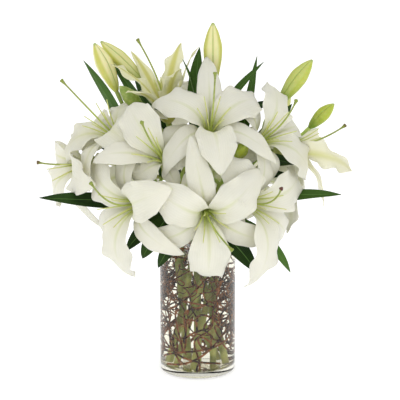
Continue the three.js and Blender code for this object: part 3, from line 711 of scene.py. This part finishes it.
def skin_points(form, pose, rows, shares, fine=False):
    """Middle surface and its normals at rows of the midrib and shares across it. Fine ones are softened."""
    t, points, across, face = spine_of(form, pose)
    t, points, across, face = t[rows], points[:, rows], across[:, rows], face[:, rows]
    s = np.asarray(shares, float)[None, None, :]
    edge = np.abs(s)
    past = np.maximum(0, (t - form["widest"]) / (1 - form["widest"]))
    rise = form["claw"] + (1 - form["claw"]) * ease(0, form["widest"], t)
    half = (each(form["half_width"]) * (rise * (1 - past**2) ** 0.85)[None])[..., None]
    t = t[None, :, None]
    ring = np.minimum(1.25, half / np.maximum(points[..., 0:1], 1))
    bow = form["cup"] * ring * (1 - ease(0.2, 0.6, t)) + form["arch"] * ease(0.35, 1, t) + 1e-3
    wave = np.sin(2 * math.pi * form["waves"] * t + (pose["phase"] + np.where(s > 0, 0, EDGE_SHIFT)))
    ruffle = form["ruffle"] * edge**3 * wave * ease(0.2, 0.5, t) * (1 - ease(0.85, 1, t))
    groove = form["groove"] * (1 - 0.7 * t) * np.maximum(0, 1 - edge / 0.4)
    if fine:
        shift = 2.1 * pose["phase"] + np.where(s > 0, 0, 2.6)
        small = np.sin(2 * math.pi * SMALL_WAVES * form["waves"] * t + shift) * edge**4
        half = np.maximum(half, 0.35)
        half = 1.04 * half * (1 + 0.02 * small * ease(0.3, 0.5, t) * (1 - ease(0.85, 1, t)))
        ruffle = 1.15 * ruffle + 0.26 * form["ruffle"] * small * ease(0.2, 0.5, t) * (1 - ease(0.9, 1, t))
        groove = form["groove"] * (1 - 0.7 * t) * np.exp(-((s / 0.16) ** 2))
    across, face, turn = across[:, :, None], face[:, :, None], (bow * s)[..., None]
    sideways = half * np.sin(bow * s) / bow
    height = half * (1 - np.cos(bow * s)) / bow + ruffle - groove
    middle = points[:, :, None] + across * sideways[..., None] + face * height[..., None]
    return middle, face * np.cos(turn) - across * np.sin(turn)


def bent(form, pose, bend):
    length = bend["length"]
    form = {**form, "length": form["length"] * length, "half_width": form["half_width"] * length**0.5}
    return form, {**pose, **{key: pose[key] + bend[key] for key in ("open", "sway", "curl")}}


def bend_of(form, pose, axes, origin, rows, corners):
    """The bend whose blade has its corners where the node has corners, and how far it misses them."""
    def probes(bends, row, shares):
        middle, normal = skin_points(*bent(form, pose, bends), [row], shares)
        inset = normal * form["thickness"] / 2
        both = np.stack([middle + inset, middle - inset], -2)
        return both.reshape(len(both), -1, 3) @ axes + origin

    tips = misses(corners, probes(BENDS, rows[-1], [0.0])).sum(1)
    best = np.argsort(tips)[:NEAREST_TIPS]
    few = {key: values[best] for key, values in BENDS.items()}
    score = tips[best] / 2
    for row in rows[1:-1]:
        score = score + np.sort(misses(corners, probes(few, row, [-1.0, 0.0, 1.0])), axis=1)[:, :5].mean(1)
    pick = int(np.argmin(score))
    return float(score[pick]), {key: float(values[pick]) for key, values in few.items()}


def blade_of(form, pose, axes, origin, columns, marks):
    """A closed blade, thin at its edges: its points, faces, flat place (across, along) and marks."""
    rows = np.arange(SPINE_STEPS + 1)
    even = np.linspace(-1, 1, columns + 1)
    shares = np.sin(even * math.pi / 2) * 0.35 + even * 0.65
    middle, normal = skin_points(form, pose, rows, shares, True)
    t = rows[:, None] / SPINE_STEPS
    edge = np.abs(shares)[None, :]
    body = 0.5 * (1 - edge**2) * (1 - 0.55 * t)
    rib = 0.25 * np.exp(-((edge / 0.12) ** 2)) * (1 - t)
    thick = form["thickness"] * (0.36 + body + rib)
    points = [middle[0] + side * normal[0] * thick[..., None] / 2 for side in (1, -1)]
    points = np.concatenate([skin.reshape(-1, 3) @ axes + origin for skin in points])
    flat = np.stack(np.broadcast_arrays(shares[None, :] * 0.5 + 0.5, t), -1).reshape(-1, 2)
    n, m = len(rows), len(shares)
    top = np.arange(n * m).reshape(n, m)
    under = top + n * m
    faces = np.concatenate([np.stack(quad, -1).reshape(-1, 4) for quad in (
        (top[:-1, :-1], top[:-1, 1:], top[1:, 1:], top[1:, :-1]),
        (under[:-1, :-1], under[1:, :-1], under[1:, 1:], under[:-1, 1:]),
        (top[:-1, 0], top[1:, 0], under[1:, 0], under[:-1, 0]),
        (top[1:, -1], top[:-1, -1], under[:-1, -1], under[1:, -1]),
        (top[0, 1:], top[0, :-1], under[0, :-1], under[0, 1:]),
        (top[-1, :-1], top[-1, 1:], under[-1, 1:], under[-1, :-1]),
    )])
    return points, faces, np.tile(flat, (2, 1)), {"inner": np.repeat([1.0, 0.0], n * m), **marks}


def gathered(parts):
    """Several (points, faces, flat places, marks) as one."""
    points, faces, flat, marks, count = [], [], [], {}, 0
    for these, those, places, own in parts:
        points.append(these)
        faces += [tuple(int(i) + count for i in face) for face in those]
        flat.append(places)
        for key, values in own.items():
            marks.setdefault(key, []).append(np.full(len(these), values))
        count += len(these)
    marks = {key: np.concatenate(values) for key, values in marks.items()}
    return np.concatenate(points), faces, np.concatenate(flat), marks

# The leaves: narrow, dark and waxy, with veins that run from end to end. They grow from the stems below the
# blooms, and from the pedicels between them.

LEAF = dict(
    claw=0.16, widest=0.42, root_radius=0, cup=0, arch=0.35, waves=1.2, ruffle=0.8, groove=1.2,
    bend_end=0.9, thickness=1.0,
)
LEAVES = [
    dict(on="stem left", tip=(-193, -60, 258), width=12, droop=-4),
    dict(on="green_left", at=0.6, tip=(-163, -10, 382), width=10, droop=-4, roll=-45),
    dict(on="pale_left", tip=(-139, 20, 426), width=9, droop=0, roll=60),
    dict(on="pale_left", tip=(-100, -6, 396), width=13, droop=20),
    dict(on="upper_left", tip=(-183, 0, 330), width=8, droop=14),
    dict(on="opening", tip=(-52, 30, 432), width=10, droop=6),
    dict(on="tall", tip=(-18, -14, 420), width=13, droop=10),
    dict(on="tall", tip=(-10, 24, 430), width=12, droop=4),
    dict(on="top", tip=(82, -20, 417), width=8, droop=10),
    dict(on="upper_right", tip=(77, 20, 417), width=7, droop=3),
    dict(on="inner_right", tip=(64, -46, 372), width=11, droop=8, young=0.6),
    dict(on="far_right", at=0.7, tip=(172, -60, 298), width=12, droop=0),
    dict(on="far_right", tip=(190, -26, 276), width=9, droop=14),
    dict(on="stem far_right", tip=(182, -38, 250), width=10, droop=8, young=0.5),
    dict(on="stem right", tip=(134, -72, 152), width=8, droop=30, young=0.8),
    dict(on="stem front", tip=(86, -84, 148), width=14, droop=40),
    dict(on="stem front", at=0.75, tip=(-26, -36, 206), width=7, droop=8, roll=0, young=0.7),
    dict(on="stem front_left", tip=(-78, -62, 160), width=13, droop=44),
    dict(on="stem front", tip=(-58, -70, 152), width=11, droop=40),
    dict(on="stem front_left", tip=(-98, -62, 176), width=11, droop=34),
    dict(on="front_left", tip=(-168, -52, 218), width=10, droop=20),
    dict(on="stem back_left", tip=(-96, 60, 160), width=13, droop=40),
    dict(on="stem back_left", tip=(-20, 96, 150), width=13, droop=40),
    dict(on="stem back_right", tip=(66, 86, 156), width=13, droop=40),
    dict(on="stem far_right", tip=(132, 44, 176), width=12, droop=36),
    dict(on="back_top", tip=(-70, 110, 392), width=12, droop=10),
    dict(on="back_right", tip=(150, 74, 330), width=12, droop=14),
    dict(on="back_top", tip=(72, 118, 375), width=12, droop=14),
]
LEAF_PLACES = (0.12, 0.45, 0.94, 0.6)
LEAF_COLUMNS = 12
LEAF_ROWS = [0, 12, 24, 36, 48]
TOP_LEAVES_FROM = 400


def blade_place(material):
    """The flat place on a blade, and its shares across and along."""
    flat = node_in(material, "ShaderNodeUVMap", uv_map="blade")["UV"]
    split = node_in(material, "ShaderNodeSeparateXYZ", {"Vector": flat})
    return flat, split["X"], split["Y"]


def mark_of(material, name):
    return node_in(material, "ShaderNodeAttribute", attribute_name=name)["Fac"]


def veins(flat, scale, bend, detail_scale):
    """Veins along a blade, a little bent."""
    inputs = {"Vector": flat, "Scale": scale, "Distortion": bend, "Detail": 2.0, "Detail Scale": detail_scale}
    return node_in(flat.id_data, "ShaderNodeTexWave", inputs, bands_direction="X")["Fac"]


leaf_wax = finish_of("leaf_wax", (0.03, 0.09, 0.02), 0.38, Specular_IOR_Level=0.13, Subsurface_Scale=0.001)
flat, across, _ = blade_place(leaf_wax)
from_rib = sums("ABSOLUTE", sums("SUBTRACT", across, 0.5))
leaf_veins = veins(flat, 3.6, 0.6, 1.5)
feed("Base Color", coats(
    (0.004, 0.014, 0.003),
    (span(mottle(leaf_wax, 30.0), 0.35, 0.7), (0.016, 0.042, 0.006)),
    (mark_of(leaf_wax, "youth"), (0.075, 0.165, 0.022)),
    (times(leaf_veins, 0.3), (0.05, 0.13, 0.022)),
    (span(from_rib, 0.035, 0.008), (0.10, 0.21, 0.05)),
    (span(mark_of(leaf_wax, "inner"), 0.0, 1.0, 0.4, 0.0), (0.10, 0.20, 0.05)),
))
relief(leaf_veins, 0.0003, 0.5)

stem_corners = {name: corners_of("stem_" + name) for name in STEMS}
leaf_parts = {name: [] for name in STEMS}
for order, leaf in enumerate(LEAVES):
    line = lines[leaf["on"]]
    on_stem = leaf["on"].startswith("stem ")
    stem = leaf["on"][5:] if on_stem else (BLOOMS.get(leaf["on"]) or BUDS[leaf["on"]])["stem"]
    tip, droop = np.array(leaf["tip"], float), leaf["droop"]
    pose = dict(open=1.6 * droop, curl=0.8 * droop, sway=0, twist=0, phase=order)
    tries = []
    for share in (leaf.get("at", 0.9 if on_stem else 0.25), *LEAF_PLACES):
        base = bezier(line, at_share(line, share))
        axes = frame_at(unit(tip - base), 180 + leaf.get("roll", 45 if tip[0] > 0 else -45))
        length = 1.04 * np.linalg.norm(tip - base)
        form = {**LEAF, "length": length, "half_width": leaf["width"], "lean": -droop}
        miss, bend = bend_of(form, pose, axes, base, LEAF_ROWS, stem_corners[stem])
        tries.append((miss, form, bend, axes, base))
    _, form, bend, axes, base = min(tries, key=lambda one: one[0])
    youth = leaf.get("young", 0.55 if leaf["tip"][2] > TOP_LEAVES_FROM else 0.12 * (order % 3))
    form, pose = bent(form, pose, bend)
    leaf_parts[stem].append(blade_of(form, pose, axes, base, LEAF_COLUMNS, {"youth": youth}))
for name, parts in leaf_parts.items():
    points, faces, sheet, marks = gathered(parts)
    leaves = piece_of("leaves_" + name, points, faces, leaf_wax, marks, sheet)
    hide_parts("stem_" + name)
    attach(leaves, "root")

# The buds: six tepals folded into a point, three of them showing as ribs with furrows between. They ripen
# from green, darkest in the youngest, to a creamy green-white.

BUD_RINGS = ((0, 0.28), (0.12, 0.6), (0.4, 0.93), (0.62, 1), (0.86, 0.6), (1, 0.12))
BUD_STATIONS = 41
BUD_SIDES = 72
BUD_TIP = 1.004
THIRD = 2 * math.pi / 3
RIPE = {
    "tall": 0.8, "right": 0.24, "small_right": 0.05, "green_left": -0.6, "pale_left": 0.9, "long_left": 0.7,
    "inner_right": -0.2, "back_right": 0.4,
}

bud_skin = finish_of(
    "bud_skin", (0.45, 0.55, 0.18), 0.45, Subsurface_Weight=0.15, Subsurface_Scale=0.004,
)
_, from_seam, along = blade_place(bud_skin)
ripe = mark_of(bud_skin, "ripe")
green = coats((0.13, 0.25, 0.018), (span(along, 0.0, 0.6), (0.40, 0.485, 0.034)))
cream = coats(
    (0.48, 0.54, 0.11),
    (span(along, 0.0, 0.4), (0.86, 0.80, 0.45)),
    (span(from_seam, 0.45, 0.85, 0.0, 0.85), (0.52, 0.52, 0.07)),
)
feed("Base Color", coats(
    green,
    (ripe, cream),
    (span(ripe, 0.0, -1.0), (0.075, 0.16, 0.03)),
    (span(from_seam, 0.16, 0.0, 0.0, 0.7), (0.24, 0.33, 0.04)),
    (span(along, 0.93, 1.0), (0.35, 0.45, 0.14)),
    (span(mottle(bud_skin, 160.0, 4.0), 0.4, 0.8, 0.0, 0.3), (0.64, 0.67, 0.24)),
))
relief(mottle(bud_skin, 300.0, 2.0), 0.0003, 0.3)

t = np.linspace(0, 1, BUD_STATIONS)
swell = np.interp(t, *zip(*BUD_RINGS))
for _ in range(6):
    swell[1:-1] = (swell[:-2] + 2 * swell[1:-1] + swell[2:]) / 4
around = np.linspace(0, 2 * math.pi, BUD_SIDES, endpoint=False)
seam = np.abs(np.mod(around, THIRD) - THIRD / 2)
ribs = 0.9 + 0.14 * (0.5 + 0.5 * np.cos(3 * around))
furrows = 1 - 0.10 * np.exp(-((seam / 0.11) ** 2))[None, :] * ease(0.04, 0.2, t)[:, None]
index = np.arange(BUD_STATIONS * BUD_SIDES).reshape(BUD_STATIONS, BUD_SIDES)
beside = np.roll(index, -1, axis=1)
foot_corner, tip_corner = index.size, index.size + 1
faces = np.stack([index[:-1], beside[:-1], beside[1:], index[1:]], -1).reshape(-1, 4).tolist()
faces += [[foot_corner, int(beside[0, j]), int(index[0, j])] for j in range(BUD_SIDES)]
faces += [[tip_corner, int(index[-1, j]), int(beside[-1, j])] for j in range(BUD_SIDES)]
sheet = np.stack(np.broadcast_arrays((seam / (THIRD / 2))[None, :], t[:, None]), -1).reshape(-1, 2)
sheet = np.vstack([sheet, [(0.5, 0), (0.5, 1)]])
for name, bud in BUDS.items():
    axes, base = frame_at(direction(*bud["face"]), 0), np.array(bud["base"], float)
    radius = bud["radius"] * swell[:, None] * ribs[None, :] * 1.02 * furrows
    rise = np.broadcast_to(bud["length"] * t[:, None], radius.shape)
    skin = np.stack([radius * np.cos(around), radius * np.sin(around), rise], -1).reshape(-1, 3)
    points = np.vstack([skin, [(0, 0, 0), (0, 0, bud["length"] * BUD_TIP)]]) @ axes + base
    piece = piece_of("lily_bud_" + name, points, faces, bud_skin, {"ripe": RIPE[name]}, sheet)
    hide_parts("bud_" + name)
    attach(piece, "root")

# The blooms: white oriental lilies. Three broad ruffled tepals stand over three narrow ones, all grown
# together at a green base, with a green throat and a furrowed midrib, and with tips that curl back.

TEPAL_THICKNESS = 1.1
BROAD_TEPAL = dict(
    length=118, half_width=25, claw=0.12, widest=0.52, lean=13, bend_end=0.66, root_radius=4.3,
    cup=0.9, arch=-0.4, waves=3.2, ruffle=3.4, groove=1.5, thickness=TEPAL_THICKNESS,
)
NARROW_TEPAL = dict(
    length=116, half_width=16, claw=0.18, widest=0.46, lean=21, bend_end=0.6, root_radius=6.6,
    cup=0.9, arch=-0.4, waves=2.2, ruffle=1.4, groove=1.2, thickness=TEPAL_THICKNESS,
)
TEPAL_COLUMNS = 18
TEPAL_ROWS = [0, 10, 19, 29, 38, 48]
CORE_RADIUS = 10.5
CORE_TOP = 5.0
CORE_SIDES = 30
CORE = [
    (0, CORE_BOTTOM), (1.5, CORE_BOTTOM), (3.2, CORE_BOTTOM + 0.6), (5.4, CORE_BOTTOM + 2.6), (8.2, -1.2),
    (CORE_RADIUS - 0.6, 1.6), (CORE_RADIUS - 0.4, 3.6), (CORE_RADIUS - 1.4, CORE_TOP), (0, CORE_TOP),
]
YOUNG = {"opening": 1.0, "far_right": 0.35, "upper_left": 0.15}


def turned_about(profile, sides, axes, origin, flat=(0.5, 0.0), **marks):
    points, faces = turned(profile, sides)
    return np.array(points) @ axes + origin, faces, np.full((len(points), 2), flat), marks


def share_of(n, step):
    return (n * step) % 1


def tepal_pose(bloom, order, k):
    n = 6 * order + k + 1
    kind = bloom.get("opened", WIDE)
    held = bloom.get("ease", (0,) * 6)[k]
    return dict(
        open=kind["open"] + kind["spread"] * 12 * (share_of(n, 0.618034) - 0.5) - held,
        curl=kind["curl"] + kind["spread"] * 44 * (share_of(n, 0.754878) - 0.5) - 2 * held,
        sway=kind["spread"] * 14 * (share_of(n, 0.56984) - 0.5),
        twist=kind["spread"] * 24 * (share_of(n, 0.819173) - 0.5),
        phase=2 * math.pi * share_of(n, 0.671044),
    )


petal_skin = finish_of(
    "petal_skin", (0.73, 0.71, 0.62), 0.5, Subsurface_Weight=0.5, Subsurface_Radius=(1.0, 0.95, 0.75),
    Subsurface_Scale=0.006, Specular_IOR_Level=0.35, Sheen_Weight=0.08, Sheen_Roughness=0.5,
)
flat, across, along = blade_place(petal_skin)
off_rib = sums("ABSOLUTE", sums("SUBTRACT", across, 0.5))
outer = sums("SUBTRACT", 1.0, mark_of(petal_skin, "inner"))
young = mark_of(petal_skin, "young")
petal_veins = veins(flat, 5.2, 1.6, 1.2)
rib_edge = sums("DIVIDE", off_rib, span(along, 0.25, 0.92, 0.10, 0.03))
rib = times(span(rib_edge, 1.0, 0.0), span(along, 0.85, 0.2, 0.0, 0.6))
throat = times(span(along, 0.34, 0.07), span(off_rib, 0.40, 0.05, 0.30, 0.9))
back_rib = times(times(outer, span(off_rib, 0.20, 0.02, 0.06, 0.42)), span(along, 1.0, 0.35, 0.25, 1.0))
feed("Base Color", coats(
    (0.83, 0.803, 0.652),
    (span(mottle(petal_skin, 28.0), 0.3, 0.75), (0.785, 0.76, 0.60)),
    (times(petal_veins, 0.10), (0.60, 0.60, 0.46)),
    (rib, (0.56, 0.60, 0.24)),
    (throat, (0.54, 0.63, 0.17)),
    (back_rib, (0.50, 0.56, 0.24)),
    (times(young, 0.65), (0.72, 0.70, 0.30)),
    (times(young, span(off_rib, 0.26, 0.06, 0.0, 0.75)), (0.47, 0.45, 0.06)),
    (span(along, 0.965, 1.0, 0.0, 0.5), (0.62, 0.68, 0.30)),
))
bumps = times(span(cells(petal_skin, 380.0), 0.45, 0.1), span(along, 0.55, 0.15))
relief(sums("ADD", times(petal_veins, 0.55), bumps), 0.0005, 0.55)

for order, (name, bloom) in enumerate(BLOOMS.items()):
    base, along = bloom_base(bloom)
    corners = corners_of("bloom_" + name)
    youth = YOUNG.get(name, 0.0)
    axes = frame_at(along, bloom["roll"])
    parts = [turned_about(CORE, CORE_SIDES, axes, base, (0.5, 0.03), inner=0.0, young=youth)]
    for k in range(6):
        own = NARROW_TEPAL if k % 2 else BROAD_TEPAL
        form = {
            **own,
            "length": own["length"] * (bloom["size"] * bloom.get("grow", (1,) * 6)[k]),
            "half_width": own["half_width"] * bloom["size"] * bloom.get("slim", 1),
        }
        axes = frame_at(along, bloom["roll"] + 60 * k + bloom.get("turn", (0,) * 6)[k])
        pose = tepal_pose(bloom, order, k)
        _, bend = bend_of(form, pose, axes, base, TEPAL_ROWS, corners)
        parts.append(blade_of(*bent(form, pose, bend), axes, base, TEPAL_COLUMNS, {"young": youth}))
    points, faces, sheet, marks = gathered(parts)
    piece = piece_of("lily_" + name, points, faces, petal_skin, marks, sheet)
    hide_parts("bloom_" + name)
    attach(piece, "root")

# In each bloom: six filaments, left bare when their anthers were pulled off, stand round a pistil. It widens
# to the ovary at its foot and to a stigma of three sticky lobes at its tip.

OVARY_RADIUS = 3.4
STYLE_RADIUS = 1.3
STYLE_FOOT = CORE_TOP + SEAT_GAP
STYLE_LENGTH = 88.0
STYLE_STATIONS = 60
FILAMENT_RADIUS = 0.9
FILAMENT_LENGTH = 62.0
FILAMENT_STATIONS = 26
THREAD_KNOTS = (0.1, 300.0)  # depth, and number to the metre
LOBE_RADIUS = 1.75
LOBE_HEIGHT = 1.6
LOBE_PLACE = (1.15, 0.2)
BROWN_STIGMA = {"right": 1.0, "far_right": 0.7, "left": 0.8, "opening": 0.3}
SPLAYS = [
    (length, splay, turn)
    for length in (1, 0.8, 0.6, 0.4)
    for splay in (26, 21, 16, 31, 11, 7)
    for turn in (0, 9, -9)
]


def thread_skin(name, colour, roughness, reach, foot, tip, fleck, **sockets):
    """A thread's skin: its colour runs from foot to tip over that reach of its length, with fine flecks."""
    skin = finish_of(name, colour, roughness, Subsurface_Scale=0.002, **sockets)
    feed("Base Color", coats(
        foot,
        (span(mark_of(skin, "along"), *reach), tip),
        (span(mottle(skin, 260.0), 0.35, 0.7, 0.0, 0.3), fleck),
    ))
    relief(mottle(skin, 500.0, 2.0), 0.0002, 0.3)
    return skin


filament_skin = thread_skin(
    "filament_skin", (0.52, 0.62, 0.22), 0.42, (0.1, 0.9), (0.40, 0.48, 0.08), (0.60, 0.63, 0.21),
    (0.64, 0.68, 0.32), Subsurface_Weight=0.1,
)
style_skin = thread_skin(
    "style_skin", (0.35, 0.42, 0.09), 0.4, (0.25, 1.0), (0.42, 0.50, 0.10), (0.20, 0.25, 0.035),
    (0.50, 0.54, 0.18),
)
stigma_skin = finish_of(
    "stigma_skin", (0.40, 0.47, 0.12), 0.3, Specular_IOR_Level=0.5, Subsurface_Scale=0.001,
)
feed("Base Color", coats((0.24, 0.31, 0.04), (mark_of(stigma_skin, "brown"), (0.10, 0.025, 0.015))))
relief(mottle(stigma_skin, 900.0, 3.0), 0.0004, 0.5)

share = np.linspace(0, 1, STYLE_STATIONS)
swell = STYLE_RADIUS + (OVARY_RADIUS - STYLE_RADIUS) * (1 - ease(0.10, 0.19, share))
swell = (swell + 0.9 * ease(0.94, 0.99, share)) * (1 - 0.18 * share * (share < 0.93))
ball = [(0, -1)] + arc((0, 0), 1.0, -75, 75, 11) + [(0, 1)]
lobe = [(LOBE_RADIUS * radius, LOBE_HEIGHT * height) for radius, height in ball]
for name, bloom in BLOOMS.items():
    base, along = bloom_base(bloom)
    axes = frame_at(along, 0)
    corners = corners_of("stamens_" + name)

    def to_world(*place):
        return np.array(place, float) @ axes + base

    tip = np.array(bloom.get("style", to_world(16, 4, STYLE_LENGTH * bloom["size"])), float)
    ends = (to_world(0, 0, STYLE_FOOT), to_world(0, 0, 30), to_world(0, 0, 60), tip)
    style = bezier(ends, at_share(ends, share))
    pistil = stalks_of("pistil_" + name, [(style, swell)], style_skin, 12, *THREAD_KNOTS)
    paths = []
    for k in range(6):
        tries = []
        for length, splay, turn in SPLAYS:
            a = math.radians(60 * k + 30 + bloom["roll"] + turn)
            out = length * splay * bloom.get("opened", WIDE)["spread"]
            end = to_world(out * math.cos(a), out * math.sin(a), length * FILAMENT_LENGTH * bloom["size"])
            apart = np.sort(np.linalg.norm(corners - end, axis=1))[:3]
            tries.append((np.abs(apart - FILAMENT_RADIUS).mean(), a, end))
        _, a, end = min(tries, key=lambda one: one[0])
        outward = np.array([math.cos(a), math.sin(a), 0])
        root = to_world(*(0.75 * OVARY_RADIUS * outward[:2]), STYLE_FOOT + 1)
        t = np.linspace(0, 1, FILAMENT_STATIONS)
        sag = np.sin(math.pi * t)[:, None] * (along * 2.2 - outward @ axes * 1.6)
        paths.append((root + t[:, None] * (end - root) + sag, 1.15 - 0.55 * t))
    threads = stalks_of("filaments_" + name, paths, filament_skin, 10, *THREAD_KNOTS)
    for piece in (pistil, threads):
        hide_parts("stamens_" + name)
        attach(piece, "root")

    lobes = []
    lobe_axes = frame_at(unit(style[-1] - style[-3]), 15 * len(name))
    for k in range(3):
        a = k * THIRD
        middle = np.array([LOBE_PLACE[0] * math.cos(a), LOBE_PLACE[0] * math.sin(a), LOBE_PLACE[1]])
        place = style[-1] + middle @ lobe_axes
        lobes.append(turned_about(lobe, 20, lobe_axes, place, brown=BROWN_STIGMA.get(name, 0.05)))
    points, faces, _, marks = gathered(lobes)
    stigma = piece_of("stigma_" + name, points, faces, stigma_skin, marks)
    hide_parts("stamens_" + name)
    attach(stigma, "root")
